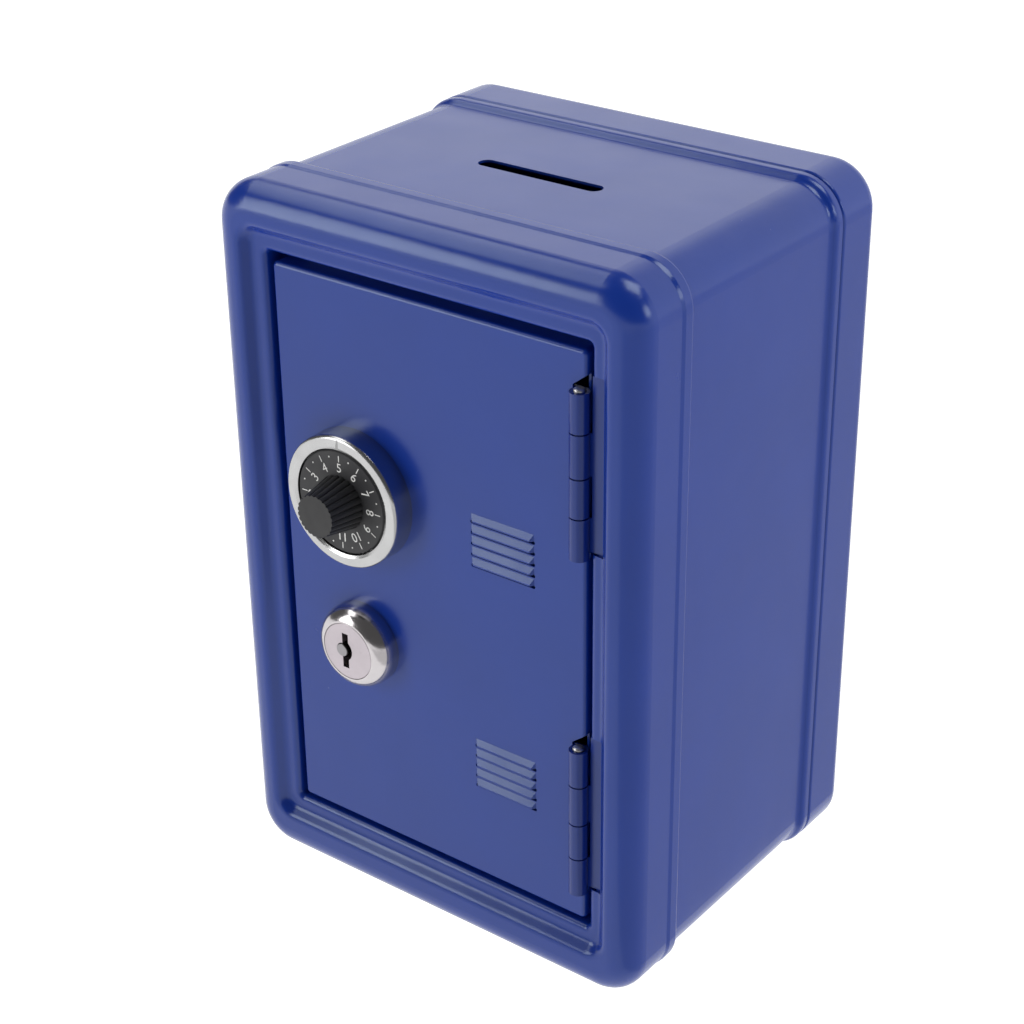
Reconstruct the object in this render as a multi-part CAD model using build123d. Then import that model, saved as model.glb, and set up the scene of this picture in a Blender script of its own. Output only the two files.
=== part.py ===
from build123d import *
import math
import os

os.makedirs("parts", exist_ok=True)

# Toy safe coin bank in stamped sheet steel. Millimetres, +Z up, door towards -Y.
# While the pieces are drawn, y = 0 is the foremost plane of the front frame and z = 0 is the floor.
# save() then slides each piece along Y, so that the origin is under the middle of the whole object.
# A name ending in Y, Z or X is a position; one ending in R is a radius.

# Overall casing
WIDTH = 118.4
HEIGHT = 180.0
REAR_Y = 95.0  # rear face of the rear cover
SHEET = 0.6  # sheet thickness of every stamped piece
CORNER = 11.0  # corner radius of the casing, seen from the front
STEP = 1.3  # how far the body shell lies inside the front frame and the rear cover
HALF = WIDTH / 2
CUT = 0.1  # how far a cutting shape runs past the surface it cuts

# Front frame
FRAME_DEPTH = 19.3
FRAME_REAR_ROUND = 1.0
RIM_ROLL = 6.6  # rolled outer edge of the rim
RIM_FLAT = 7.0  # from the outside of the frame to the flat crest of the rim
BEAD_RISE = 0.3
BEAD_START = 15.0
BEAD_ROUND = 0.7
DISH_DEPTH = 2.7  # the recessed land around the doorway
DISH_HALF = 49.8  # half width to the middle of the slope between rim and land
DISH_LOW, DISH_HIGH = 12.0, 169.5
DISH_CORNER = 4.0
SLOPE_RUN = 2.2
SLOPE_ROUND = 2.2
SLOPE_REACH = 2.2  # half width of the slope with its roundings

# Doorway in the frame
DOORWAY_HALF = 45.1
DOORWAY_LOW, DOORWAY_HIGH = 16.5, 164.1
DOORWAY_CORNER = 1.2
LIP_ROUND = 1.6
LIP_REACH = 1.8  # from the doorway to the flat of the land
STOP_Y = 10.3  # front of the lip that the closed door stops against
STOP_REACH = 5.0
STOP_CORNER = 1.0

# Body shell and rear cover
SHELL_FRONT = 13.0
SHELL_REAR = 78.9
FLARE_START, FLARE_END = 75.4, 76.8
FLARE_RISE = 1.2
FLARE_ROUND = 2.2
COLLAR_FRONT = 72.0
COVER_FRONT = 79.3
COVER_LIP_ROUND = 0.9
COVER_ROLL = 4.0

# Coin slot in the top of the shell
SLOT_LENGTH = 34.0
SLOT_WIDTH = 4.4
SLOT_Y = 45.8

# Door
DOOR_HALF = 43.6
DOOR_LOW, DOOR_HIGH = 17.8, 161.8
DOOR_FACE = 3.4
DOOR_DEPTH = 6.1
DOOR_EDGE = 1.0
DOOR_CORNER = 1.2
DOOR_BACK = DOOR_FACE + SHEET  # rear side of the door's face sheet

# Louvres in the door
LOUVRE_X = 21.0
LOUVRE_ZS = (108.4, 49.3)
LOUVRE_COUNT = 5
LOUVRE_PITCH = 2.75
LOUVRE_WIDTH = 17.4
LOUVRE_RISE = 0.8
LOUVRE_GAP = 0.9  # from the lower edge of a hood to the top of the next
LOUVRE_LIP = 0.35  # upright lower edge of a hood
LOUVRE_TAPER = 0.8  # the lip is this much shorter at each end than the top
LOUVRE_SKIN = 0.4
LOUVRE_SLIT = 0.85
LOUVRE_SLIT_BELOW = 0.75  # the slit reaches this far below its hood
LOUVRE_SLIT_ROUND = 0.35
LOUVRE_OVERHANG = 0.2  # how far each slit runs past the ends of its hood

# Hinges
LEAF = 0.6
BARREL_R = 2.25
BARREL_X = 42.5
BARREL_Y = DOOR_BACK + LEAF - BARREL_R
DOOR_KNUCKLE, FRAME_KNUCKLE = 9.4, 10.3  # two of each, taking turns from the top
BARREL_LENGTH = 2 * (DOOR_KNUCKLE + FRAME_KNUCKLE)
BARREL_ZS = {"upper": 133.4, "lower": 45.7}
BARREL_CLEARANCE = 0.25  # between the barrel and the edges of the door's notch
NOTCH_BELOW = 0.6
NOTCH_ABOVE_INNER, NOTCH_ABOVE_OUTER = 0.5, 3.4  # the top of the notch slants
KNUCKLE_GAP = 0.35
PIN_R = 1.35
PIN_PROUD = 0.7
PIN_SHORT = 0.3
PIN_ROUND = 0.5
RUNNING_FIT = 0.05
LEAF_REACH = 12.5
CUTOUT_HEIGHT = 41.4
CUTOUT_RISE = 2.9  # the frame's cut-out sits this much above the barrel's middle
CUTOUT_X = 48.7
CUTOUT_REAR = STOP_Y - 1.5
FRAME_LEAF_X = 51.5
FRAME_LEAF_GAP = 0.4  # between the barrel and the part of the frame leaf seen beside it
FRAME_LEAF_LAP = 3.0  # the frame leaf runs this far past the cut-out, above and below

# Dial: bezel, disc and knob
DIAL_X = -21.1
DIAL_Z = 110.0
BEZEL_R = 16.4
BEZEL_TOP = -2.9
BEZEL_BORE = 13.1
BEZEL_FLOOR = 2.2
BEZEL_CROWN_X = 0.9  # from the bore to the highest line of the crown
BEZEL_INNER_DROP, BEZEL_OUTER_DROP = 0.5, 0.35
GROOVE_SIDE = 0.6  # side of the square bar that cuts the index groove
TABS = 3
TAB_RADIUS = BEZEL_R - 1.6
TAB_WIDTH, TAB = 3.0, 0.6
TAB_PLAY = 0.2
DISC_R = 12.8
DISC_FACE = -2.4
DISC_THICKNESS = 1.6
DISC_CHAMFER = 0.3
HUB_R = 4.5
KNOB_FRONT = -11.2
KNOB_BASE_R, KNOB_BASE_VALLEY = 6.8, 6.35
KNOB_FRONT_R, KNOB_FRONT_VALLEY = 5.2, 4.85
KNOB_FLUTES = 24
KNOB_SKIN = 3.0  # solid front of the knob, ahead of the shaft's hole

# Dial: shaft, bush and click mechanism behind the door
SHAFT_R = 2.0
SHAFT_END = 8.9
SHAFT_CHAMFER = 0.2
BUSH_R = 3.5
BUSH_FLANGE_R = 5.2
CLICKS = 12
WHEEL_R = 8.0
WHEEL_VALLEY = 7.2
WHEEL_FRONT, WHEEL_REAR = 5.2, 7.4
CLIP_R = 3.6
CLIP_FRONT, CLIP_REAR = WHEEL_REAR + 0.2, WHEEL_REAR + 0.8
CLIP_MOUTH = 1.2
GROOVE_R = SHAFT_R - 0.4
SPRING = 0.3
SPRING_Z = DIAL_Z + WHEEL_R + 1.0
SPRING_LEFT, SPRING_RIGHT = DIAL_X - 15.0, DIAL_X + 8.0
SPRING_FOOT_RIGHT = DIAL_X - 7.6
SPRING_FOOT_HEIGHT = 6.4
NOSE_R = 0.5
NOSE_Z = DIAL_Z + WHEEL_VALLEY + 0.85
RIVET_R, RIVET_HEAD_R, RIVET_HEAD = 1.0, 1.8, 0.8
RIVET_XS = (DIAL_X - 13.2, DIAL_X - 9.4)
RIVET_Z = SPRING_Z + SPRING_FOOT_HEIGHT / 2

# Lock: housing, plug and wafers
LOCK_X = -21.1
LOCK_Z = 70.6
LOCK_TOP = -2.8
LOCK_DOME_R = 10.6
LOCK_BARREL_R = 8.0
LOCK_BARREL_END = 11.5
PLUG_HEAD_R = 7.3
PLUG_HEAD = 1.6
PLUG_CHAMFER = 0.15
PLUG_R = 6.0
KEYWAY_HALF = 4.6
KEYWAY_WIDTH = 1.8
KEYWAY_X = -0.6
KEYWAY_BULGE_R = 2.9
POST_R = 1.7
POST_X = -1.5
POST_PROUD, POST_ROUND = 0.4, 0.35
WAFER_YS = (1.0, 3.0, 5.0, 7.0)
WAFER = 0.8
WAFER_WIDTH, WAFER_HEIGHT = 5.0, 10.8
WAFER_HOLE_WIDTH = 3.6
WAFER_PLAY = 0.1  # the keyway's channel is this much smaller than the hole in a wafer
CHANNEL_WIDTH = 3.4
CHANNEL_REAR = 9.0

# Lock: nut, washers, cam and screw behind the door
TAIL_R, TAIL_FLAT, TAIL_HEIGHT = 3.0, 4.2, 7.0
SCREW_R, SCREW_REACH = 1.5, 2.2
SCREW_HEAD_R, SCREW_HEAD, SCREW_HEAD_ROUND = 2.9, 1.8, 0.6
SCREW_SLOT_DEPTH, SCREW_SLOT_HALF = 0.9, 0.4
CAM_FRONT, CAM_REAR = 11.7, 13.2
CAM_LENGTH = 22.4
CAM_WIDTH = 9.0
CAM_HUB_R = 5.5
CAM_WASHER_R, CAM_WASHER_BORE, CAM_WASHER = 4.2, 1.6, 0.7
LOCK_WASHER = 0.6
LOCK_WASHER_VALLEY, LOCK_WASHER_R, LOCK_WASHER_TEETH = 10.2, 11.4, 16
NUT_R = 11.6  # across the corners, before they are turned off
NUT_REAR_R = 10.6
NUT_TAPER = 3.0
NUT = 2.8

FRONT_SHIFT = -(KNOB_FRONT + REAR_Y) / 2


def save(name, shape):
    """Writes one node, slid so that the origin is under the middle of the object."""
    export_step(Pos(0, FRONT_SHIFT, 0) * shape, f"parts/{name}.step")


def slab(sketch, y_front, y_rear):
    """A sketch drawn in x and z, made solid between two planes of constant y."""
    return extrude(Plane.XZ.offset(-y_rear) * sketch, amount=y_rear - y_front)


def rounded(half_width, low, high, radius):
    """A rounded rectangle in x and z, centred on x = 0."""
    return Pos(0, (low + high) / 2) * RectangleRounded(2 * half_width, high - low, radius)


def box(x_low, x_high, y_low, y_high, z_low, z_high):
    """A box between its limits."""
    middle = Pos((x_low + x_high) / 2, (y_low + y_high) / 2, (z_low + z_high) / 2)
    return middle * Box(x_high - x_low, y_high - y_low, z_high - z_low)


def turned(points, x, z):
    """A piece turned about an axis along Y, from (radius, y) points."""
    return Pos(x, 0, z) * revolve(make_face(Polyline(*points, close=True)), Axis.Y)


def tube(outer, inner, y_front, y_rear, x, z):
    return turned([(inner, y_front), (outer, y_front), (outer, y_rear), (inner, y_rear)], x, z)


def rod(radius, y_front, y_rear, x, z):
    return slab(Pos(x, z) * Circle(radius), y_front, y_rear)


def round_front_edge(shape, radius):
    return fillet(shape.edges().sort_by(Axis.Y)[0], radius)


def round_rear_edge(shape, radius):
    return fillet(shape.edges().sort_by(Axis.Y)[-1], radius)


def bent_sheet(outer_line, side):
    """The section of a bent sheet: its outer line, thickened towards one side."""
    return make_face(outer_line.offset_2d(SHEET, side=side).edges())


def round_rim(section, half_width, low, high, radius):
    """Carries a section, drawn in x and y, round a rounded rectangle. The two halves mirror."""
    middle = (low + high) / 2
    corners = [(half_width, middle), (half_width, high), (-half_width, high), (-half_width, middle)]
    path = FilletPolyline(*[(x, 0, z) for x, z in corners], radius=radius)
    upper = sweep(Pos(0, 0, middle) * section, path=path)
    lower = mirror(upper, Plane.XY.offset(middle))
    return upper + lower


def lobed(valley, peak, count):
    """A face with rounded lobes: an arc from each valley over a peak to the next valley."""
    step = 2 * math.pi / count

    def at(radius, angle):
        return (radius * math.sin(angle), radius * math.cos(angle))

    arcs = [
        ThreePointArc(at(valley, i * step), at(peak, (i + 0.5) * step), at(valley, (i + 1) * step))
        for i in range(count)
    ]
    return make_face(Curve() + arcs)


# Casing


def frame_wall():
    """The frame's outer wall: rear edge turned in, bead, and the rolled edge of the rim."""
    wall_x = HALF - BEAD_RISE
    outer_line = FilletPolyline(
        (HALF - STEP, FRAME_DEPTH),
        (HALF, FRAME_DEPTH),
        (HALF, BEAD_START + FRAME_REAR_ROUND),
        (wall_x, BEAD_START),
        (wall_x, 0),
        (HALF - RIM_FLAT, 0),
        radius=[FRAME_REAR_ROUND, BEAD_ROUND, BEAD_ROUND, RIM_ROLL],
    )
    return round_rim(bent_sheet(outer_line, Side.RIGHT), HALF, 0, HEIGHT, CORNER)


def dish_slope():
    """The slope from the rim's crest down to the land."""
    outer_line = FilletPolyline(
        (DISH_HALF + SLOPE_REACH, 0),
        (DISH_HALF + SLOPE_RUN / 2, 0),
        (DISH_HALF - SLOPE_RUN / 2, DISH_DEPTH),
        (DISH_HALF - SLOPE_REACH, DISH_DEPTH),
        radius=SLOPE_ROUND,
    )
    section = bent_sheet(outer_line, Side.RIGHT)
    return round_rim(section, DISH_HALF, DISH_LOW, DISH_HIGH, DISH_CORNER)


def dish_outline(growth):
    """The slope's middle line, grown by some distance."""
    return rounded(
        DISH_HALF + growth, DISH_LOW - growth, DISH_HIGH + growth, DISH_CORNER + growth
    )


def doorway_outline(growth, radius):
    return rounded(DOORWAY_HALF + growth, DOORWAY_LOW - growth, DOORWAY_HIGH + growth, radius)


def doorway_rim():
    """The recessed land and the flange that lines the doorway, with a rounded lip between."""
    outer_line = FilletPolyline(
        (DOORWAY_HALF + LIP_REACH, DISH_DEPTH),
        (DOORWAY_HALF, DISH_DEPTH),
        (DOORWAY_HALF, STOP_Y + SHEET),
        radius=LIP_ROUND,
    )
    section = bent_sheet(outer_line, Side.RIGHT)
    lip = round_rim(section, DOORWAY_HALF, DOORWAY_LOW, DOORWAY_HIGH, DOORWAY_CORNER)
    inside = doorway_outline(LIP_REACH, DOORWAY_CORNER + LIP_REACH)
    return lip + slab(dish_outline(-SLOPE_REACH) - inside, DISH_DEPTH, DISH_DEPTH + SHEET)


def hinge_cutout(barrel_z):
    """The window in the frame's land and doorway flange that shows the hinge's frame leaf."""
    low = barrel_z + CUTOUT_RISE - CUTOUT_HEIGHT / 2
    return box(DOORWAY_HALF - CUT, CUTOUT_X, 0, CUTOUT_REAR, low, low + CUTOUT_HEIGHT)


def front_frame():
    crest_outline = rounded(HALF - RIM_FLAT, RIM_FLAT, HEIGHT - RIM_FLAT, CORNER - RIM_FLAT)
    crest = slab(crest_outline - dish_outline(SLOPE_REACH), 0, SHEET)
    stop_hole = doorway_outline(-STOP_REACH, STOP_CORNER)
    stop_lip = slab(doorway_outline(0, DOORWAY_CORNER) - stop_hole, STOP_Y, STOP_Y + SHEET)
    frame = frame_wall() + crest + dish_slope() + doorway_rim() + stop_lip
    for barrel_z in BARREL_ZS.values():
        frame -= hinge_cutout(barrel_z)
    return frame


def body_shell():
    """The sheet wrapped round the sides, flared at its rear edge, with the coin slot on top."""
    outer_x = HALF - STEP
    outer_line = FilletPolyline(
        (outer_x, SHELL_FRONT),
        (outer_x, FLARE_START),
        (outer_x + FLARE_RISE, FLARE_END),
        (outer_x + FLARE_RISE, SHELL_REAR),
        radius=FLARE_ROUND,
    )
    section = bent_sheet(outer_line, Side.LEFT)
    shell = round_rim(section, outer_x, STEP, HEIGHT - STEP, CORNER - STEP)
    slot = extrude(SlotOverall(SLOT_LENGTH, SLOT_WIDTH), amount=3 * STEP, both=True)
    return shell - Pos(0, SLOT_Y, HEIGHT) * slot


def rear_cover():
    """A pressed pan whose collar plugs into the rear of the shell."""
    collar_x = HALF - STEP - SHEET
    outer_line = FilletPolyline(
        (collar_x, COLLAR_FRONT),
        (collar_x, COVER_FRONT),
        (HALF, COVER_FRONT),
        (HALF, REAR_Y),
        (HALF - RIM_FLAT, REAR_Y),
        radius=[SHEET / 2, COVER_LIP_ROUND, COVER_ROLL],
    )
    wall = round_rim(bent_sheet(outer_line, Side.LEFT), HALF, 0, HEIGHT, CORNER)
    back_outline = rounded(HALF - RIM_FLAT, RIM_FLAT, HEIGHT - RIM_FLAT, CORNER - RIM_FLAT)
    return wall + slab(back_outline, REAR_Y - SHEET, REAR_Y)


# Door


def louvre_tops():
    for group_z in LOUVRE_ZS:
        for row in range(LOUVRE_COUNT):
            yield group_z + (LOUVRE_COUNT / 2 - row) * LOUVRE_PITCH


def louvre_wedge(low, root, lip):
    """A wedge between two upright rectangles, each given as (y, half width, upper z)."""
    ends = [
        Plane.XZ.offset(-y) * Pos(LOUVRE_X, (low + high) / 2) * Rectangle(2 * half, high - low)
        for y, half, high in (root, lip)
    ]
    return loft(ends, ruled=True)


def louvre_hood(top_z):
    """One hood: it slopes out of the door from its top and both ends."""
    low = top_z - LOUVRE_PITCH + LOUVRE_GAP
    half = LOUVRE_WIDTH / 2
    root = (DOOR_FACE + CUT, half, top_z)
    lip = (DOOR_FACE - LOUVRE_RISE, half - LOUVRE_TAPER, low + LOUVRE_LIP)
    return louvre_wedge(low, root, lip)


def louvre_hollow(top_z):
    """The inside of a hood, open below and behind."""
    low = top_z - LOUVRE_PITCH + LOUVRE_GAP - CUT
    half = LOUVRE_WIDTH / 2 - LOUVRE_SKIN
    root = (DOOR_BACK + CUT, half, top_z - LOUVRE_SKIN)
    lip_half = half - LOUVRE_TAPER
    lip = (DOOR_FACE - LOUVRE_RISE + LOUVRE_SKIN, lip_half, low + LOUVRE_LIP)
    return louvre_wedge(low, root, lip)


def louvre_slit(top_z):
    """The slit under a hood, seen as a thin dark line with a small hole at each end."""
    low = top_z - LOUVRE_PITCH + LOUVRE_GAP - LOUVRE_SLIT_BELOW
    width = LOUVRE_WIDTH + 2 * LOUVRE_OVERHANG
    outline = RectangleRounded(width, LOUVRE_SLIT, LOUVRE_SLIT_ROUND)
    placed = Pos(LOUVRE_X, low + LOUVRE_SLIT / 2) * outline
    return slab(placed, DOOR_FACE - CUT, DOOR_BACK + CUT)


def bezel_tab_places():
    return PolarLocations(TAB_RADIUS, TABS, start_angle=90)


def door_pan():
    """A shallow pressed pan, open at the rear, with rounded front edges."""
    rear = DOOR_FACE + DOOR_DEPTH
    outside = slab(rounded(DOOR_HALF, DOOR_LOW, DOOR_HIGH, DOOR_CORNER), DOOR_FACE, rear)
    outside = fillet(outside.faces().sort_by(Axis.Y)[0].edges(), DOOR_EDGE)
    hollow_outline = rounded(
        DOOR_HALF - SHEET, DOOR_LOW + SHEET, DOOR_HIGH - SHEET, DOOR_CORNER - SHEET
    )
    hollow = slab(hollow_outline, DOOR_BACK, rear + CUT)
    hollow = fillet(hollow.faces().sort_by(Axis.Y)[0].edges(), DOOR_EDGE - SHEET)
    return outside - hollow


def barrel_notch(barrel_z):
    """Room for a hinge barrel in the door's right edge."""
    low = barrel_z - BARREL_LENGTH / 2 - NOTCH_BELOW
    high = barrel_z + BARREL_LENGTH / 2
    inner_x = BARREL_X - BARREL_R - BARREL_CLEARANCE
    outer_x = DOOR_HALF + CUT
    outline = Polyline(
        (inner_x, low),
        (outer_x, low),
        (outer_x, high + NOTCH_ABOVE_OUTER),
        (inner_x, high + NOTCH_ABOVE_INNER),
        close=True,
    )
    return slab(make_face(outline), 0, BARREL_Y + BARREL_R + 0.4)


def door_panel():
    door = door_pan()
    for top_z in louvre_tops():
        door += louvre_hood(top_z)
        door -= louvre_hollow(top_z)
        door -= louvre_slit(top_z)
    through = DOOR_FACE + DOOR_DEPTH
    door -= rod(BUSH_R, 0, through, DIAL_X, DIAL_Z)
    door -= rod(LOCK_BARREL_R, 0, through, LOCK_X, LOCK_Z)
    for place in bezel_tab_places():
        tab_hole = Pos(DIAL_X, DIAL_Z) * place * Rectangle(TAB + TAB_PLAY, TAB_WIDTH + TAB_PLAY)
        door -= slab(tab_hole, 0, through)
    for barrel_z in BARREL_ZS.values():
        door -= barrel_notch(barrel_z)
    return door


# Hinges


def knuckle_spans(barrel_z, first_top, length):
    """Lower and upper z of the two knuckles of one leaf, measured from the top of the barrel."""
    top = barrel_z + BARREL_LENGTH / 2 - first_top
    for high in (top, top - DOOR_KNUCKLE - FRAME_KNUCKLE):
        yield high - length + KNUCKLE_GAP, high


def knuckle(low, high, bore):
    barrel = Cylinder(BARREL_R, high - low) - Cylinder(bore, high - low)
    return Pos(BARREL_X, BARREL_Y, (low + high) / 2) * barrel


def pin_space(barrel_z, radius):
    return Pos(BARREL_X, BARREL_Y, barrel_z) * Cylinder(radius, BARREL_LENGTH + 2 * CUT)


def hinge_door_leaf(barrel_z):
    """The leaf on the rear of the door. Its knuckles turn on the pin."""
    low = barrel_z - BARREL_LENGTH / 2
    plate_x = BARREL_X - BARREL_R - BARREL_CLEARANCE
    rear = DOOR_BACK + LEAF
    leaf = box(BARREL_X - LEAF_REACH, plate_x, DOOR_BACK, rear, low, low + BARREL_LENGTH)
    bore = PIN_R + RUNNING_FIT
    for knuckle_low, knuckle_high in knuckle_spans(barrel_z, 0, DOOR_KNUCKLE):
        strip = box(plate_x, BARREL_X, DOOR_BACK, rear, knuckle_low, knuckle_high)
        leaf += strip - pin_space(barrel_z, bore)
        leaf += knuckle(knuckle_low, knuckle_high, bore)
    return leaf


def hinge_frame_leaf(barrel_z):
    """The leaf behind the frame's land, seen in the cut-out. Its knuckles hold the pin."""
    cutout_low = barrel_z + CUTOUT_RISE - CUTOUT_HEIGHT / 2
    cutout_high = cutout_low + CUTOUT_HEIGHT
    front = DISH_DEPTH + SHEET
    rear = front + LEAF
    shown_x = BARREL_X + BARREL_R + FRAME_LEAF_GAP
    low, high = cutout_low - FRAME_LEAF_LAP, cutout_high + FRAME_LEAF_LAP
    leaf = box(DOORWAY_HALF + LIP_REACH, FRAME_LEAF_X, front, rear, low, high)
    low, high = cutout_low + BARREL_CLEARANCE, cutout_high - BARREL_CLEARANCE
    leaf += box(shown_x, FRAME_LEAF_X, front, rear, low, high)
    for knuckle_low, knuckle_high in knuckle_spans(barrel_z, DOOR_KNUCKLE, FRAME_KNUCKLE):
        strip = box(BARREL_X, FRAME_LEAF_X, front, rear, max(knuckle_low, low), knuckle_high)
        leaf += strip - pin_space(barrel_z, PIN_R)
        leaf += knuckle(knuckle_low, knuckle_high, PIN_R)
    return leaf


def hinge_pin(barrel_z):
    low = barrel_z - BARREL_LENGTH / 2 - PIN_SHORT
    high = barrel_z + BARREL_LENGTH / 2 + PIN_PROUD
    pin = Pos(BARREL_X, BARREL_Y, (low + high) / 2) * Cylinder(PIN_R, high - low)
    return fillet(pin.edges().filter_by(GeomType.CIRCLE), PIN_ROUND)


# Dial


def bezel_cup():
    """Crowned ring, straight skirt and a floor behind the disc."""
    profile = FilletPolyline(
        (BUSH_R, BEZEL_FLOOR),
        (BEZEL_BORE, BEZEL_FLOOR),
        (BEZEL_BORE, BEZEL_TOP + BEZEL_INNER_DROP),
        (BEZEL_BORE + BEZEL_CROWN_X, BEZEL_TOP),
        (BEZEL_R, BEZEL_TOP + BEZEL_OUTER_DROP),
        (BEZEL_R, DOOR_FACE),
        radius=[0.3, 0.15, 0.7, 1.0],
    )
    base = Polyline((BEZEL_R, DOOR_FACE), (BUSH_R, DOOR_FACE), (BUSH_R, BEZEL_FLOOR))
    return Pos(DIAL_X, 0, DIAL_Z) * revolve(make_face(profile.edges() + base.edges()), Axis.Y)


def dial_bezel():
    """A plated cup with an index groove at the top, held by tabs folded over behind the door."""
    cup = bezel_cup()
    ring_width = BEZEL_R - BEZEL_BORE
    bar = Rot(0, 0, 45) * Box(GROOVE_SIDE, GROOVE_SIDE, 2 * ring_width)
    cup -= Pos(DIAL_X, BEZEL_TOP, DIAL_Z + BEZEL_BORE + ring_width / 2) * bar
    rear = DOOR_BACK + TAB
    for place in bezel_tab_places():
        standing = Pos(DIAL_X, DIAL_Z) * place * Rectangle(TAB, TAB_WIDTH)
        folded = Pos(DIAL_X, DIAL_Z) * place * Pos(2 * TAB, 0) * Rectangle(5 * TAB, TAB_WIDTH)
        cup += slab(standing, DOOR_FACE, rear)
        cup += slab(folded, DOOR_BACK, rear)
    return cup


def dial_disc():
    """The numbered plate, with a hub on the shaft."""
    rear = DISC_FACE + DISC_THICKNESS
    hub_rear = BEZEL_FLOOR - 0.2
    return turned(
        [
            (SHAFT_R, DISC_FACE),
            (DISC_R - DISC_CHAMFER, DISC_FACE),
            (DISC_R, DISC_FACE + DISC_CHAMFER),
            (DISC_R, rear),
            (HUB_R, rear),
            (HUB_R, hub_rear),
            (SHAFT_R, hub_rear),
        ],
        DIAL_X,
        DIAL_Z,
    )


def dial_knob():
    """A tapered, finely fluted knob on the end of the shaft."""
    base = Plane.XZ.offset(-DISC_FACE) * lobed(KNOB_BASE_VALLEY, KNOB_BASE_R, KNOB_FLUTES)
    front = Plane.XZ.offset(-KNOB_FRONT) * lobed(KNOB_FRONT_VALLEY, KNOB_FRONT_R, KNOB_FLUTES)
    knob = Pos(DIAL_X, 0, DIAL_Z) * loft([base, front], ruled=True)
    return knob - rod(SHAFT_R, KNOB_FRONT + KNOB_SKIN, DISC_FACE, DIAL_X, DIAL_Z)


def dial_shaft():
    shaft = rod(SHAFT_R, KNOB_FRONT + KNOB_SKIN, SHAFT_END, DIAL_X, DIAL_Z)
    shaft = chamfer(shaft.edges().filter_by(GeomType.CIRCLE), SHAFT_CHAMFER)
    return shaft - tube(SHAFT_R + CUT, GROOVE_R, CLIP_FRONT, CLIP_REAR, DIAL_X, DIAL_Z)


def dial_bush():
    """The flanged bearing of the shaft."""
    bore = SHAFT_R + RUNNING_FIT
    rear = WHEEL_FRONT - 0.3
    barrel = tube(BUSH_R, bore, BEZEL_FLOOR, rear, DIAL_X, DIAL_Z)
    return barrel + tube(BUSH_FLANGE_R, bore, DOOR_BACK, rear, DIAL_X, DIAL_Z)


def dial_click_wheel():
    """A detent wheel with one valley for each number on the dial."""
    wheel = slab(lobed(WHEEL_VALLEY, WHEEL_R, CLICKS), WHEEL_FRONT, WHEEL_REAR)
    wheel = Pos(DIAL_X, 0, DIAL_Z) * wheel
    return wheel - rod(SHAFT_R, WHEEL_FRONT - CUT, WHEEL_REAR + CUT, DIAL_X, DIAL_Z)


def dial_shaft_clip():
    """A snap ring in the shaft's groove."""
    clip = tube(CLIP_R, GROOVE_R, CLIP_FRONT, CLIP_REAR, DIAL_X, DIAL_Z)
    left, right = DIAL_X - CLIP_MOUTH, DIAL_X + CLIP_MOUTH
    return clip - box(left, right, CLIP_FRONT, CLIP_REAR, DIAL_Z - CLIP_R, DIAL_Z)


def dial_click_spring():
    """A flat spring: riveted foot, free arm over the wheel, round nose in a valley."""
    arm = box(SPRING_LEFT, SPRING_RIGHT, DOOR_BACK, WHEEL_REAR, SPRING_Z, SPRING_Z + SPRING)
    foot_rear = DOOR_BACK + SPRING
    foot_high = SPRING_Z + SPRING_FOOT_HEIGHT
    foot = box(SPRING_LEFT, SPRING_FOOT_RIGHT, DOOR_BACK, foot_rear, SPRING_Z, foot_high)
    nose = rod(NOSE_R, WHEEL_FRONT, WHEEL_REAR, DIAL_X, NOSE_Z)
    left, right = DIAL_X - NOSE_R, DIAL_X + NOSE_R
    web = box(left, right, WHEEL_FRONT, WHEEL_REAR, NOSE_Z, SPRING_Z)
    spring = arm + foot + nose + web
    for x in RIVET_XS:
        spring -= rod(RIVET_R, DOOR_BACK, foot_rear, x, RIVET_Z)
    return spring


def dial_spring_rivets():
    head_front = DOOR_BACK + SPRING
    rivets = []
    for x in RIVET_XS:
        shank = rod(RIVET_R, DOOR_BACK, head_front, x, RIVET_Z)
        head = rod(RIVET_HEAD_R, head_front, head_front + RIVET_HEAD, x, RIVET_Z)
        rivets.append(shank + round_rear_edge(head, RIVET_HEAD / 2))
    return Compound(rivets)


# Lock


def lock_housing():
    """Domed trim ring and threaded barrel in one piece, bored for the plug."""
    head_bore = PLUG_HEAD_R + RUNNING_FIT
    bore = PLUG_R + RUNNING_FIT
    seat = LOCK_TOP + PLUG_HEAD + RUNNING_FIT
    front = Line((head_bore, LOCK_TOP), (PLUG_HEAD_R + 0.5, LOCK_TOP))
    dome = ThreePointArc(
        front @ 1,
        (LOCK_DOME_R - 0.75, LOCK_TOP + 1.7),
        (LOCK_DOME_R, LOCK_TOP + 4.6),
    )
    rest = Polyline(
        dome @ 1,
        (LOCK_DOME_R, DOOR_FACE),
        (LOCK_BARREL_R, DOOR_FACE),
        (LOCK_BARREL_R, LOCK_BARREL_END),
        (bore, LOCK_BARREL_END),
        (bore, seat),
        (head_bore, seat),
        front @ 0,
    )
    profile = make_face(front.edges() + dome.edges() + rest.edges())
    return Pos(LOCK_X, 0, LOCK_Z) * revolve(profile, Axis.Y)


def keyway():
    """An upright slot that bulges round the right side of the post."""
    slot = Pos(KEYWAY_X) * Rectangle(KEYWAY_WIDTH, 2 * KEYWAY_HALF)
    bulge = Circle(KEYWAY_BULGE_R) & Pos(KEYWAY_BULGE_R) * Rectangle(
        2 * KEYWAY_BULGE_R, 2 * KEYWAY_BULGE_R
    )
    return slot + Pos(POST_X) * bulge - Pos(POST_X) * Circle(POST_R)


def plug_tail():
    """The two-sided end of the plug, which turns the cam."""
    return Circle(TAIL_R) & Rectangle(TAIL_FLAT, TAIL_HEIGHT)


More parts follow.
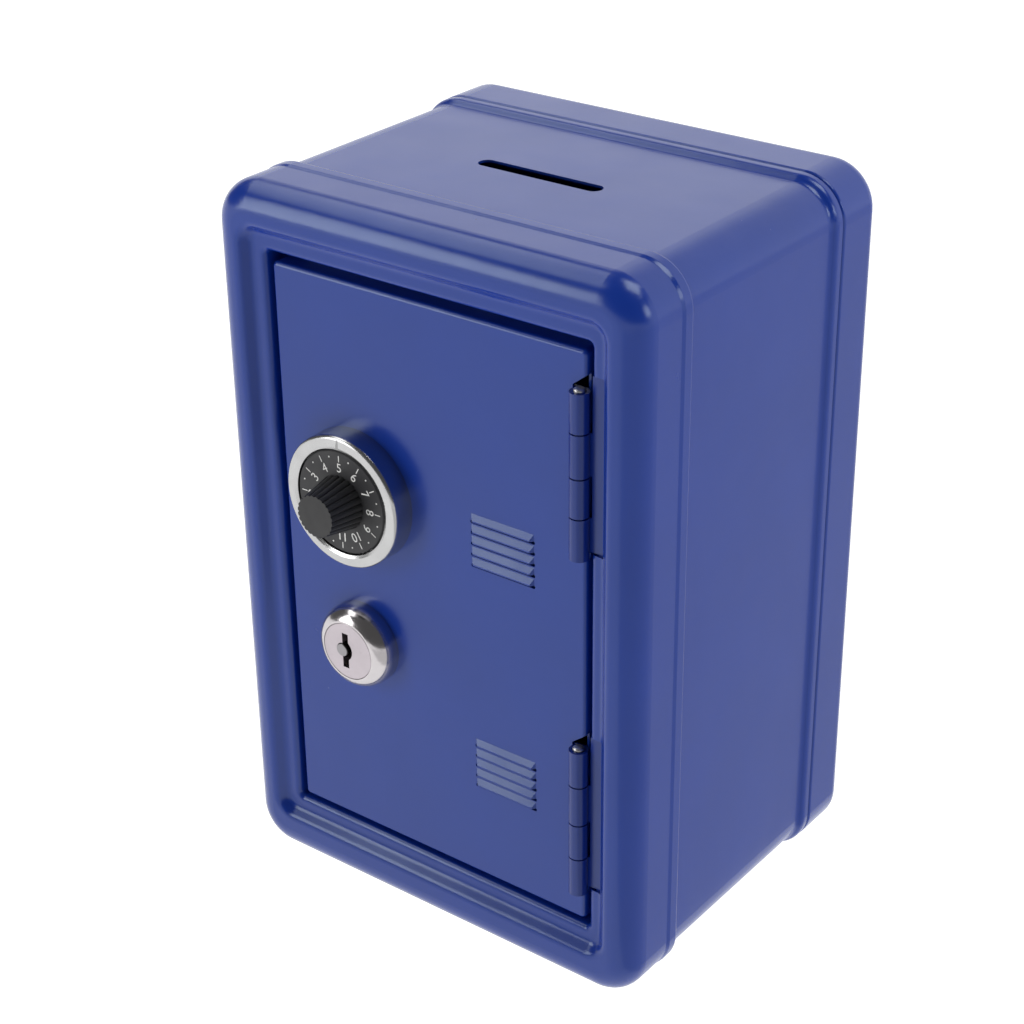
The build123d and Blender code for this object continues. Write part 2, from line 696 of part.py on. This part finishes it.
def lock_plug():
    """The turning plug, with its keyway, the round post beside it and the wafer slots."""
    plug = turned(
        [
            (0, LOCK_TOP),
            (PLUG_HEAD_R - PLUG_CHAMFER, LOCK_TOP),
            (PLUG_HEAD_R, LOCK_TOP + PLUG_CHAMFER),
            (PLUG_HEAD_R, LOCK_TOP + PLUG_HEAD),
            (PLUG_R, LOCK_TOP + PLUG_HEAD),
            (PLUG_R, CAM_FRONT),
            (0, CAM_FRONT),
        ],
        LOCK_X,
        LOCK_Z,
    )
    at_lock = Pos(LOCK_X, LOCK_Z)
    plug -= slab(at_lock * keyway(), LOCK_TOP, 0)
    plug -= slab(at_lock * Rectangle(CHANNEL_WIDTH, 2 * KEYWAY_HALF), 0, CHANNEL_REAR)
    post = rod(POST_R, LOCK_TOP - POST_PROUD, 0, LOCK_X + POST_X, LOCK_Z)
    plug += round_front_edge(post, POST_ROUND)
    for y in WAFER_YS:
        plug -= slab(at_lock * Rectangle(WAFER_WIDTH + CUT, 2 * PLUG_HEAD_R), y, y + WAFER)
    plug += slab(at_lock * (plug_tail() - Circle(SCREW_R)), CAM_FRONT, CAM_REAR)
    return plug - rod(SCREW_R, CAM_FRONT - SCREW_REACH, CAM_FRONT, LOCK_X, LOCK_Z)


def lock_wafers():
    """Sprung tumblers, drawn in as the key draws them, flush with the plug."""
    hole = Rectangle(WAFER_HOLE_WIDTH, 2 * (KEYWAY_HALF + WAFER_PLAY))
    plate = Rectangle(WAFER_WIDTH, WAFER_HEIGHT) - hole
    return Compound([slab(Pos(LOCK_X, LOCK_Z) * plate, y, y + WAFER) for y in WAFER_YS])


def lock_washer():
    """A toothed washer under the nut."""
    washer = lobed(LOCK_WASHER_VALLEY, LOCK_WASHER_R, LOCK_WASHER_TEETH) - Circle(LOCK_BARREL_R)
    return slab(Pos(LOCK_X, LOCK_Z) * washer, DOOR_BACK, DOOR_BACK + LOCK_WASHER)


def lock_nut():
    """A hexagon nut whose corners are turned off towards the rear."""
    front = DOOR_BACK + LOCK_WASHER
    rear = front + NUT
    outline = RegularPolygon(radius=NUT_R, side_count=6) - Circle(LOCK_BARREL_R)
    nut = slab(Pos(LOCK_X, LOCK_Z) * outline, front, rear)
    cone = turned(
        [(0, front), (NUT_REAR_R + NUT_TAPER, front), (NUT_REAR_R, rear), (0, rear)],
        LOCK_X,
        LOCK_Z,
    )
    return nut & cone


def lock_cam():
    """The bolt: a flat cam that hangs down when unlocked and turns behind the frame's lip."""
    arm = Pos(0, -CAM_LENGTH / 2) * Rectangle(CAM_WIDTH, CAM_LENGTH)
    plate = Circle(CAM_HUB_R) + (arm & Circle(CAM_LENGTH)) - plug_tail()
    return slab(Pos(LOCK_X, LOCK_Z) * plate, CAM_FRONT, CAM_REAR)


def lock_cam_washer():
    return tube(CAM_WASHER_R, CAM_WASHER_BORE, CAM_REAR, CAM_REAR + CAM_WASHER, LOCK_X, LOCK_Z)


def lock_cam_screw():
    head_front = CAM_REAR + CAM_WASHER
    head_rear = head_front + SCREW_HEAD
    shank = rod(SCREW_R, CAM_FRONT - SCREW_REACH + CUT, head_front, LOCK_X, LOCK_Z)
    head = round_rear_edge(rod(SCREW_HEAD_R, head_front, head_rear, LOCK_X, LOCK_Z), SCREW_HEAD_ROUND)
    slot_z = Rectangle(2 * SCREW_HEAD_R, 2 * SCREW_SLOT_HALF)
    slot = slab(Pos(LOCK_X, LOCK_Z) * slot_z, head_rear - SCREW_SLOT_DEPTH, head_rear)
    return shank + head - slot


NODES = {
    "front_frame": front_frame,
    "body_shell": body_shell,
    "rear_cover": rear_cover,
    "door_panel": door_panel,
    "dial_bezel": dial_bezel,
    "dial_disc": dial_disc,
    "dial_knob": dial_knob,
    "dial_shaft": dial_shaft,
    "dial_bush": dial_bush,
    "dial_click_wheel": dial_click_wheel,
    "dial_click_spring": dial_click_spring,
    "dial_spring_rivets": dial_spring_rivets,
    "dial_shaft_clip": dial_shaft_clip,
    "lock_housing": lock_housing,
    "lock_plug": lock_plug,
    "lock_wafers": lock_wafers,
    "lock_washer": lock_washer,
    "lock_nut": lock_nut,
    "lock_cam": lock_cam,
    "lock_cam_washer": lock_cam_washer,
    "lock_cam_screw": lock_cam_screw,
}

for name, make in NODES.items():
    save(name, make())

for place, barrel_z in BARREL_ZS.items():
    save(f"{place}_hinge_door_leaf", hinge_door_leaf(barrel_z))
    save(f"{place}_hinge_frame_leaf", hinge_frame_leaf(barrel_z))
    save(f"{place}_hinge_pin", hinge_pin(barrel_z))
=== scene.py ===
import math

import bmesh
import bpy
from mathutils import Matrix, Vector


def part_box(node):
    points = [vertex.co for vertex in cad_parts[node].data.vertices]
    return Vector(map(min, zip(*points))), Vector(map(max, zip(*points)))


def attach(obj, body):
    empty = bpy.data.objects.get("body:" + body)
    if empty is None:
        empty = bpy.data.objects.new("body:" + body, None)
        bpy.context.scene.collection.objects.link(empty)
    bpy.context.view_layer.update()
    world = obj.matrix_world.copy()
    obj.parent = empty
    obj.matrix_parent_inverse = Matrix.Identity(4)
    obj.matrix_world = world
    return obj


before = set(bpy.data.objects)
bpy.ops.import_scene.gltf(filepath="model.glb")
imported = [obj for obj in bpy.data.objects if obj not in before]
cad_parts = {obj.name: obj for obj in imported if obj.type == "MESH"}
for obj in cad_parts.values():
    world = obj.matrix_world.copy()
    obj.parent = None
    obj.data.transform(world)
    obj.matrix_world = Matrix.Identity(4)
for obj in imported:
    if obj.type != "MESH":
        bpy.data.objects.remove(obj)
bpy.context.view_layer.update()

# Looks of the toy safe coin bank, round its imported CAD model. Metres, +Z up, door towards -Y.
MM = 0.001
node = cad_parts

# Camera
LENS = 78.1
SENSOR = 36
CAMERA_PLACE = (0.28566, -0.37626, 0.34162)
CAMERA_FORWARD = (-0.5434, 0.7008, -0.4621)
CAMERA_UP = (-0.2728, 0.3732, 0.8867)

# Studio: each lamp's name, place, target, size and power in watts
MIDDLE = (0, 0, 0.09)
LAMPS = (
    ("overhead", (0.36, 0.31, 1.21), MIDDLE, (0.65, 0.65), 6.5),
    ("right", (1.16, 0.21, 0.57), MIDDLE, (0.4, 0.4), 2.6),
    ("front_left", (-0.34, -0.51, 0.29), (0, -0.51, 0.29), (0.42, 0.32), 2.1),
    ("high_left", (-0.62, -0.05, 0.98), MIDDLE, (1.1, 0.36), 3.2),
    ("rear_left", (-1.35, 1.75, 1.2), MIDDLE, (2.2, 1.2), 1.0),
)
WORLD_STRENGTH = 0.10
FLOOR_GLOW, CARD_GLOW = 1.10, 0.62
BEND_STEPS = 16  # facets in the bend of the floor
CARD_STRIPS = 12
CARD_RIPPLE = 0.4 * MM

# Paint and metal
BLUE = (0.005, 0.031, 0.265)
# a darker copy of the blue paint, as painted shade on the hinges, which sit in a pocket of the
# frame
HINGE_SHADE_BLUE = (0.004, 0.020, 0.195)
DUST_BLUE = (0.40, 0.44, 0.62)
PIT_BLUE = (0.006, 0.010, 0.06)
GLOSS = 0.20  # roughness of the paint where it is cleanest
PAINT_IOR = 1.50
PAINT_SHEEN = (0.82, 0.95, 1.0, 1)
STEEL = (0.62, 0.61, 0.60)
SPRING_STEEL = (0.42, 0.41, 0.40)
PLATING = (0.54, 0.54, 0.54)
CHROME = (0.62, 0.59, 0.60)
PLUG = (0.54, 0.49, 0.52)
BRASS = (0.70, 0.50, 0.20)
ZINC = (0.62, 0.63, 0.64)
NEW_MARKS = 0.04  # how much small stains show on the bright pieces

# The post in the lock's keyway, with painted shade on its end and a painted shadow line round it
POST_X, POST_R, POST_SHADOW_LINE = -1.5 * MM, 1.7 * MM, 0.1 * MM
POST_SHADE_GREY = (0.30, 0.29, 0.30)
GAP_SHADOW_GREY = (0.06, 0.06, 0.06)

# Printing on the dial
WHITE = (0.80, 0.80, 0.78)
NUMBERS = 12
TOP_NUMBER = 5  # the number that stands at the index mark
NUMBER_HEIGHT = 2.3 * MM
FIGURE_SHARE = 0.72  # height of a figure as a share of the font's size
NUMBER_RADIUS = 8.6 * MM
TICK_INNER, TICK_OUTER, TICK_WIDTH = 10.2 * MM, 11.8 * MM, 0.22 * MM
DOT_RADIUS, DOT_SIZE, DOT_SIDES = 11.2 * MM, 0.2 * MM, 16
PRINT_HEIGHT = 0.03 * MM

# Sockets of the Mix node when it mixes colours
MIX_SHARE, MIX_FIRST, MIX_SECOND, MIX_RESULT = 0, 6, 7, 2


def link(thing):
    bpy.context.scene.collection.objects.link(thing)
    return thing


# Camera and studio


def add_camera():
    """Three-quarter view from the front right, from above, with a moderately long lens."""
    data = bpy.data.cameras.new("camera")
    data.lens = LENS
    data.sensor_width = SENSOR
    data.clip_start = 0.01
    camera = bpy.data.objects.new("camera", data)
    forward = Vector(CAMERA_FORWARD).normalized()
    right = forward.cross(Vector(CAMERA_UP)).normalized()
    up = right.cross(forward)
    turn = Matrix((right, up, -forward)).transposed().to_4x4()
    camera.matrix_world = Matrix.Translation(CAMERA_PLACE) @ turn
    bpy.context.scene.camera = link(camera)


def add_softbox(name, place, target, size, power):
    """A rectangular lamp that lights and is reflected, but is not seen itself."""
    data = bpy.data.lights.new(name, "AREA")
    data.shape = "RECTANGLE"
    data.size, data.size_y = size
    data.energy = power
    lamp = link(bpy.data.objects.new(name, data))
    lamp.visible_camera = False
    turn = (Vector(target) - Vector(place)).to_track_quat("-Z", "Y")
    lamp.matrix_world = Matrix.Translation(place) @ turn.to_matrix().to_4x4()


def add_floor():
    """A pale floor that curves up into a backdrop. It glows a little, as a light table does."""
    half_width, front, bend, radius, height = 12.0, -12.0, 1.9, 0.8, 2.6
    line = [(front, 0.0), (bend, 0.0)]
    for step in range(1, BEND_STEPS + 1):
        angle = math.pi / 2 * step / BEND_STEPS
        line.append((bend + radius * math.sin(angle), radius * (1 - math.cos(angle))))
    line.append((bend + radius, height))
    mesh = bmesh.new()
    left = [mesh.verts.new((-half_width, y, z)) for y, z in line]
    right = [mesh.verts.new((half_width, y, z)) for y, z in line]
    for i in range(len(line) - 1):
        face = mesh.faces.new((left[i], right[i], right[i + 1], left[i + 1]))
        face.smooth = True
    floor = link(bpy.data.objects.new("floor", finished(mesh, "floor")))
    floor.data.materials.append(glowing_paper("floor_paper", FLOOR_GLOW))


def add_grey_card():
    """A light grey card on the floor at the right. Only reflections show it."""
    left, right, front, back, lift = 0.064, 0.90, -0.60, 1.10, 1.5 * MM
    mesh = bmesh.new()
    rows = []
    for i in range(CARD_STRIPS + 1):
        y = front + (back - front) * i / CARD_STRIPS
        z = lift + CARD_RIPPLE * math.sin(i)
        rows.append((mesh.verts.new((left, y, z)), mesh.verts.new((right, y, z))))
    for (a, b), (c, d) in zip(rows, rows[1:]):
        mesh.faces.new((a, b, d, c))
    card = link(bpy.data.objects.new("grey_card", finished(mesh, "grey_card")))
    card.data.materials.append(glowing_paper("card_paper", CARD_GLOW))
    card.visible_camera = False
    card.visible_shadow = False
    card.visible_diffuse = False


def add_studio():
    """A dim white world and five soft lamps."""
    world = bpy.data.worlds.new("studio")
    world.use_nodes = True
    background = world.node_tree.nodes["Background"]
    background.inputs["Color"].default_value = (1.0, 1.0, 1.0, 1)
    background.inputs["Strength"].default_value = WORLD_STRENGTH
    bpy.context.scene.world = world
    bpy.context.scene.view_settings.view_transform = "Standard"
    for lamp in LAMPS:
        add_softbox(*lamp)


# Material building blocks


def new_material(name):
    made = bpy.data.materials.new(name)
    made.use_nodes = True
    return made, made.node_tree, made.node_tree.nodes["Principled BSDF"]


def add(tree, kind, inputs=(), **settings):
    """Adds a shader node. Each input is set to a value, or linked where the value is a socket."""
    made = tree.nodes.new(kind)
    for key, value in settings.items():
        setattr(made, key, value)
    for key, value in dict(inputs).items():
        put(tree, made.inputs[key], value)
    return made


def put(tree, socket, value):
    if isinstance(value, bpy.types.NodeSocket):
        tree.links.new(value, socket)
    else:
        socket.default_value = value


def places(tree):
    """Coordinates that stay with the piece, in metres."""
    return add(tree, "ShaderNodeTexCoord").outputs["Object"]


def noise(tree, where, size, detail=3.0, roughness=0.55):
    """A soft noise whose features are about `size` metres across."""
    inputs = {"Vector": where, "Scale": 1 / size, "Detail": detail, "Roughness": roughness}
    return add(tree, "ShaderNodeTexNoise", inputs).outputs["Fac"]


def between(tree, value, low, high, new_low=0.0, new_high=1.0):
    """Stretches the part of a value from low to high over a new range, and clamps the rest."""
    inputs = {"Value": value, "From Min": low, "From Max": high,
              "To Min": new_low, "To Max": new_high}
    return add(tree, "ShaderNodeMapRange", inputs).outputs["Result"]


def times(tree, a, b):
    return add(tree, "ShaderNodeMath", {0: a, 1: b}, operation="MULTIPLY").outputs[0]


def plus(tree, a, b):
    return add(tree, "ShaderNodeMath", {0: a, 1: b}, operation="ADD").outputs[0]


def scaled(colour, factor, offset=0.0):
    return tuple(factor * part + offset for part in colour)


def mixed(tree, share, first, second):
    """A colour between two colours."""
    made = add(tree, "ShaderNodeMix", data_type="RGBA")
    put(tree, made.inputs[MIX_SHARE], share)
    for key, value in ((MIX_FIRST, first), (MIX_SECOND, second)):
        is_socket = isinstance(value, bpy.types.NodeSocket)
        put(tree, made.inputs[key], value if is_socket else (*value, 1))
    return made.outputs[MIX_RESULT]


def specks(tree, where, pitch, size, share):
    """Round specks about `size` across, in `share` of the cells of a grid of about `pitch`."""
    inputs = {"Vector": where, "Scale": 1 / pitch, "Randomness": 1.0}
    cells = add(tree, "ShaderNodeTexVoronoi", inputs).outputs
    inside = between(tree, cells["Distance"], size / pitch / 2, size / pitch / 4)
    chosen = add(tree, "ShaderNodeSeparateColor", {"Color": cells["Color"]}).outputs["Red"]
    return times(tree, inside, between(tree, chosen, 1 - share - 0.01, 1 - share))


def bump(tree, shader, height, depth, below=None):
    """Feeds a height into the shader's normal, on top of another bump if there is one."""
    inputs = {"Height": height, "Distance": depth, "Strength": 1.0}
    if below is not None:
        inputs["Normal"] = below
    normal = add(tree, "ShaderNodeBump", inputs).outputs["Normal"]
    tree.links.new(normal, shader.inputs["Normal"])
    return normal


# Materials


def glowing_paper(name, glow):
    """Studio paper with an even white glow."""
    made, tree, shader = new_material(name)
    where = places(tree)
    shade = noise(tree, where, size=0.4, detail=4)
    tint = mixed(tree, shade, (0.12, 0.12, 0.125), (0.15, 0.15, 0.15))
    put(tree, shader.inputs["Base Color"], tint)
    shader.inputs["Roughness"].default_value = 0.9
    shader.inputs["Specular IOR Level"].default_value = 0.2
    shader.inputs["Emission Color"].default_value = (1, 1, 1, 1)
    shader.inputs["Emission Strength"].default_value = glow
    bump(tree, shader, noise(tree, where, size=2 * MM), depth=0.03 * MM)
    return made


def enamel(name, colour):
    """Glossy paint on sheet steel: orange peel, a few dust specks and pits, uneven gloss."""
    made, tree, shader = new_material(name)
    where = places(tree)
    clouds = noise(tree, where, size=30 * MM, detail=4)
    tint = mixed(tree, clouds, scaled(colour, 0.86), scaled(colour, 1.06))
    dust = specks(tree, where, pitch=11 * MM, size=0.6 * MM, share=0.06)
    tint = mixed(tree, times(tree, dust, 0.5), tint, DUST_BLUE)
    pits = specks(tree, where, pitch=8 * MM, size=0.7 * MM, share=0.06)
    tint = mixed(tree, times(tree, pits, 0.6), tint, PIT_BLUE)
    put(tree, shader.inputs["Base Color"], tint)
    smudges = noise(tree, where, size=20 * MM, detail=5, roughness=0.6)
    roughness = between(tree, smudges, 0.35, 0.75, GLOSS, GLOSS + 0.08)
    put(tree, shader.inputs["Roughness"], roughness)
    shader.inputs["IOR"].default_value = PAINT_IOR
    shader.inputs["Specular Tint"].default_value = PAINT_SHEEN
    orange_peel = noise(tree, where, size=2.2 * MM, detail=2)
    under = bump(tree, shader, orange_peel, depth=0.014 * MM)
    waves = noise(tree, where, size=14 * MM, detail=1)
    under = bump(tree, shader, waves, depth=0.10 * MM, below=under)
    grit = plus(tree, dust, times(tree, pits, -1.0))
    bump(tree, shader, grit, depth=0.04 * MM, below=under)
    return made


def metal(name, colour, roughness, spread, marks=0.2):
    """Bare or plated metal, with a grain, small marks and uneven gloss."""
    made, tree, shader = new_material(name)
    shader.inputs["Metallic"].default_value = 1.0
    where = places(tree)
    clouds = noise(tree, where, size=6 * MM, detail=4)
    tint = mixed(tree, clouds, scaled(colour, 0.80), colour)
    stains = between(tree, noise(tree, where, size=2.5 * MM, detail=3), 0.62, 0.75)
    tint = mixed(tree, times(tree, stains, marks), tint, scaled(colour, 0.55))
    put(tree, shader.inputs["Base Color"], tint)
    wear = noise(tree, where, size=4 * MM, detail=5)
    gloss = between(tree, wear, 0.3, 0.75, roughness, roughness + spread)
    grain = noise(tree, where, size=0.6 * MM, detail=3)
    put(tree, shader.inputs["Roughness"], plus(tree, gloss, times(tree, grain, 0.05)))
    bump(tree, shader, grain, depth=0.004 * MM)
    return made


def mark_post(material):
    """Paints shade on the round post in the keyway: its end darker than the plug, with a fine
    painted shadow line round it where it meets the plug.
    """
    tree = material.node_tree
    shader = tree.nodes["Principled BSDF"]
    low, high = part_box("lock_plug")
    middle = (low + high) / 2 + Vector((POST_X, 0, 0))
    inputs = {"Vector": places(tree), "Location": -middle}
    moved = add(tree, "ShaderNodeMapping", inputs).outputs["Vector"]
    inputs = {0: moved, 1: (1, 0, 1)}
    flat = add(tree, "ShaderNodeVectorMath", inputs, operation="MULTIPLY").outputs["Vector"]
    reach = add(tree, "ShaderNodeVectorMath", {0: flat}, operation="LENGTH").outputs["Value"]
    inside = between(tree, reach, POST_R + POST_SHADOW_LINE, POST_R)
    outside = between(tree, reach, POST_R - 2 * POST_SHADOW_LINE, POST_R - POST_SHADOW_LINE)
    plain = shader.inputs["Base Color"].links[0].from_socket
    # painted shade: the post's end darker than the plug
    tint = mixed(tree, inside, plain, POST_SHADE_GREY)
    # painted shadow: a dark line in the gap round the post
    tint = mixed(tree, times(tree, inside, outside), tint, GAP_SHADOW_GREY)
    put(tree, shader.inputs["Base Color"], tint)


def plastic(name, colour, roughness):
    """Moulded plastic with a fine grain and slight rubbing."""
    made, tree, shader = new_material(name)
    where = places(tree)
    clouds = noise(tree, where, size=4 * MM, detail=4)
    tint = mixed(tree, clouds, colour, scaled(colour, 1.35, 0.004))
    dust = specks(tree, where, pitch=2.2 * MM, size=0.18 * MM, share=0.2)
    tint = mixed(tree, times(tree, dust, 0.35), tint, (0.4, 0.4, 0.4))
    put(tree, shader.inputs["Base Color"], tint)
    rubbing = noise(tree, where, size=3 * MM, detail=4)
    gloss = between(tree, rubbing, 0.3, 0.7, roughness, roughness + 0.12)
    put(tree, shader.inputs["Roughness"], gloss)
    bump(tree, shader, noise(tree, where, size=0.3 * MM, detail=2), depth=0.01 * MM)
    return made


def ink(name, colour):
    """Printing ink, worn thin in tiny patches."""
    made, tree, shader = new_material(name)
    where = places(tree)
    wear = between(tree, noise(tree, where, size=0.4 * MM, detail=4), 0.3, 0.5)
    put(tree, shader.inputs["Base Color"], mixed(tree, wear, scaled(colour, 0.75), colour))
    shader.inputs["Roughness"].default_value = 0.5
    bump(tree, shader, noise(tree, where, size=0.2 * MM), depth=0.004 * MM)
    return made


def dress(material, *names):
    """Gives CAD nodes a material in place of their plain one."""
    for name in names:
        slots = node[name].data.materials
        slots.clear()
        slots.append(material)


def dress_nodes():
    """Metals are given with the roughness where they are cleanest, and how much it varies."""
    painted = ("front_frame", "body_shell", "rear_cover", "door_panel")
    leaves = [f"{end}_hinge_{side}_leaf"
              for end in ("upper", "lower") for side in ("door", "frame")]
    bare = ("upper_hinge_pin", "lower_hinge_pin", "dial_shaft", "dial_spring_rivets")
    zinc_plated = ("lock_washer", "lock_nut", "lock_cam", "lock_cam_washer", "lock_cam_screw")
    plug_metal = metal("lock_plug_metal", PLUG, 0.28, 0.12)
    mark_post(plug_metal)
    dress(enamel("blue_enamel", BLUE), *painted)
    # The hinge leaves get a darker copy of the blue enamel: painted shade for the pocket and gap
    # they sit in
    dress(enamel("blue_hinge_enamel", HINGE_SHADE_BLUE), *leaves)
    dress(metal("bare_steel", STEEL, 0.25, 0.2), *bare)
    dress(metal("spring_steel", SPRING_STEEL, 0.3, 0.2), "dial_click_spring", "dial_shaft_clip")
    dress(metal("bright_plating", PLATING, 0.18, 0.06, NEW_MARKS), "dial_bezel")
    dress(plastic("dial_plastic", (0.013, 0.013, 0.015), 0.48), "dial_disc")
    dress(plastic("knob_plastic", (0.009, 0.009, 0.010), 0.45), "dial_knob")
    dress(plastic("bush_plastic", (0.62, 0.60, 0.54), 0.45), "dial_bush", "dial_click_wheel")
    dress(metal("lock_chrome", CHROME, 0.13, 0.05, NEW_MARKS), "lock_housing")
    dress(plug_metal, "lock_plug")
    dress(metal("brass", BRASS, 0.25, 0.2), "lock_wafers")
    dress(metal("zinc_plating", ZINC, 0.28, 0.2), *zinc_plated)


# Printing on the dial


def on_disc(radius, angle):
    """A place on the disc's face, and the turn that stands a mark there with its top outwards."""
    low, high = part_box("dial_disc")
    middle = (low + high) / 2
    turn = Matrix.Rotation(angle, 4, "Y") @ Matrix.Rotation(math.pi / 2, 4, "X")
    x = middle.x + radius * math.sin(angle)
    z = middle.z + radius * math.cos(angle)
    return Matrix.Translation((x, low.y, z)) @ turn


def printed(name, mesh, matrix):
    """Puts a mark on the dial. It turns with the disc."""
    mesh.transform(matrix)
    piece = link(bpy.data.objects.new(name, mesh))
    mesh.materials.clear()
    mesh.materials.append(bpy.data.materials["white_ink"])
    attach(piece, "dial")


def number_mesh(text):
    curve = bpy.data.curves.new("number", "FONT")
    curve.body = text
    curve.size = NUMBER_HEIGHT / FIGURE_SHARE
    curve.align_x = "CENTER"
    curve.align_y = "CENTER"
    curve.extrude = PRINT_HEIGHT
    curve.resolution_u = 6
    temporary = bpy.data.objects.new("number", curve)
    mesh = bpy.data.meshes.new_from_object(temporary)
    bpy.data.objects.remove(temporary)
    bpy.data.curves.remove(curve)
    return mesh


def bar_mesh(width, low, high):
    """A thin upright bar with clipped ends, from low to high along its own Y."""
    half, clip = width / 2, width / 3
    outline = [(-half, low + clip), (clip - half, low), (half - clip, low), (half, low + clip),
               (half, high - clip), (half - clip, high), (clip - half, high), (-half, high - clip)]
    return raised(outline, "bar")


def dot_mesh(radius):
    turn = 2 * math.pi / DOT_SIDES
    angles = [i * turn for i in range(DOT_SIDES)]
    return raised([(radius * math.cos(a), radius * math.sin(a)) for a in angles], "dot")


def raised(outline, name):
    """A closed slab of an outline, as high above the disc's face as it is deep below it."""
    mesh = bmesh.new()
    face = mesh.faces.new([mesh.verts.new((x, y, -PRINT_HEIGHT)) for x, y in outline])
    extruded = bmesh.ops.extrude_face_region(mesh, geom=[face])["geom"]
    lifted = [v for v in extruded if isinstance(v, bmesh.types.BMVert)]
    bmesh.ops.translate(mesh, verts=lifted, vec=(0, 0, 2 * PRINT_HEIGHT))
    bmesh.ops.recalc_face_normals(mesh, faces=mesh.faces)
    return finished(mesh, name)


def finished(mesh, name):
    data = bpy.data.meshes.new(name)
    mesh.to_mesh(data)
    mesh.free()
    return data


def print_dial():
    ink("white_ink", WHITE)
    step = 2 * math.pi / NUMBERS
    for i in range(NUMBERS):
        number = (TOP_NUMBER - 1 + i) % NUMBERS + 1
        angle = i * step
        printed(f"dial_number_{number}", number_mesh(str(number)), on_disc(NUMBER_RADIUS, angle))
        tick = bar_mesh(TICK_WIDTH, 0, TICK_OUTER - TICK_INNER)
        printed(f"dial_tick_{number}", tick, on_disc(TICK_INNER, angle))
        printed(f"dial_dot_{number}", dot_mesh(DOT_SIZE), on_disc(DOT_RADIUS, angle + step / 2))


add_camera()
add_floor()
add_grey_card()
add_studio()
dress_nodes()
print_dial()
